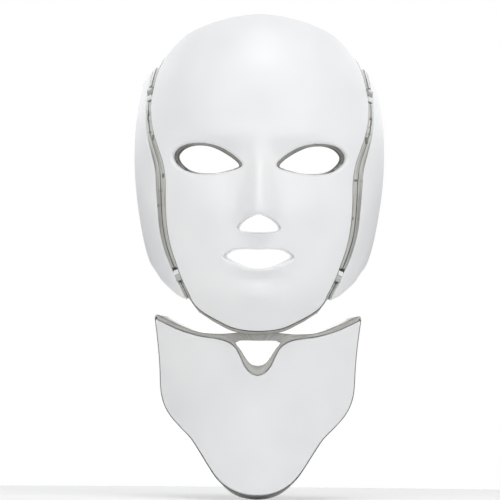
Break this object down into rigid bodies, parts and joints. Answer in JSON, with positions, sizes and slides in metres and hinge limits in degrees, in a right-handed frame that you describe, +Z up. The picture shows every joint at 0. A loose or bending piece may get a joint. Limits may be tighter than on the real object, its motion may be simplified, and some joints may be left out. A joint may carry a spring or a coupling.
{
  "type": "led face mask",
  "caption": "Light-therapy face mask: white shells over clear liners, open at the eyes, nose and mouth, with hinged temple wings and a separate neck shield with a notched top.",
  "frame": {"origin": "on the middle plane, level with the wearer's eyes and with the front of them, where the face holds the mask (mount wearer_face)", "axes": "+Z up, the mask faces -Y, +X is the wearer's left"},
  "size_m": [0.2012, 0.1211, 0.3892],
  "materials": {
    "white_shell": "glossy moulded white ABS",
    "clear_liner": "clear polycarbonate, grey at its edges",
    "led_board": "white flexible circuit board with surface-mounted LEDs",
    "flat_lead": "white flat ribbon lead",
    "clear_ear": "clear polycarbonate",
    "white_lug": "white ABS",
    "steel": "plain steel",
    "socket": "black moulded socket"
  },
  "bodies": {
    "face": {"chin_led_board": "led_board", "face_liner": "clear_liner", "face_shell": "white_shell", "forehead_led_board": "led_board", "left_cheek_led_board": "led_board", "left_forehead_screw": "steel", "left_jaw_screw": "steel", "left_lower_hinge_ear": "clear_ear", "left_lower_hinge_pin": "steel", "left_temple_screw": "steel", "left_upper_hinge_ear": "clear_ear", "left_upper_hinge_pin": "steel", "nose_led_board": "led_board", "right_cheek_led_board": "led_board", "right_forehead_screw": "steel", "right_jaw_screw": "steel", "right_lower_hinge_ear": "clear_ear", "right_lower_hinge_pin": "steel", "right_temple_screw": "steel", "right_upper_hinge_ear": "clear_ear", "right_upper_hinge_pin": "steel"},
    "left_wing": {"left_lower_hinge_lug": "white_lug", "left_lower_wing_screw": "steel", "left_upper_hinge_lug": "white_lug", "left_upper_wing_screw": "steel", "left_wing_lead": "flat_lead", "left_wing_led_board": "led_board", "left_wing_liner": "clear_liner", "left_wing_shell": "white_shell", "power_jack": "socket"},
    "right_wing": {"right_lower_hinge_lug": "white_lug", "right_lower_wing_screw": "steel", "right_upper_hinge_lug": "white_lug", "right_upper_wing_screw": "steel", "right_wing_lead": "flat_lead", "right_wing_led_board": "led_board", "right_wing_liner": "clear_liner", "right_wing_shell": "white_shell"},
    "neck_shield": {"left_chest_screw": "steel", "left_collar_screw": "steel", "left_neck_led_board": "led_board", "neck_jack": "socket", "neck_liner": "clear_liner", "neck_shell": "white_shell", "right_chest_screw": "steel", "right_collar_screw": "steel", "right_neck_led_board": "led_board"}
  },
  "joints": [
    {"name": "left_wing_swing", "type": "hinge", "parent": "face", "child": "left_wing", "pos_m": [0.07366, 0.03637, -0.02], "axis": [0.157, 0.1722, 0.9725], "range_deg": [-15, 8]},
    {"name": "right_wing_swing", "type": "hinge", "parent": "face", "child": "right_wing", "pos_m": [-0.07366, 0.03637, -0.02], "axis": [-0.157, 0.1722, 0.9725], "range_deg": [-8, 15]},
    {"name": "neck_pull", "type": "slide", "parent": "face", "child": "neck_shield", "axis": [0, -1, 0], "range_m": [0, 0.12]}
  ]
}
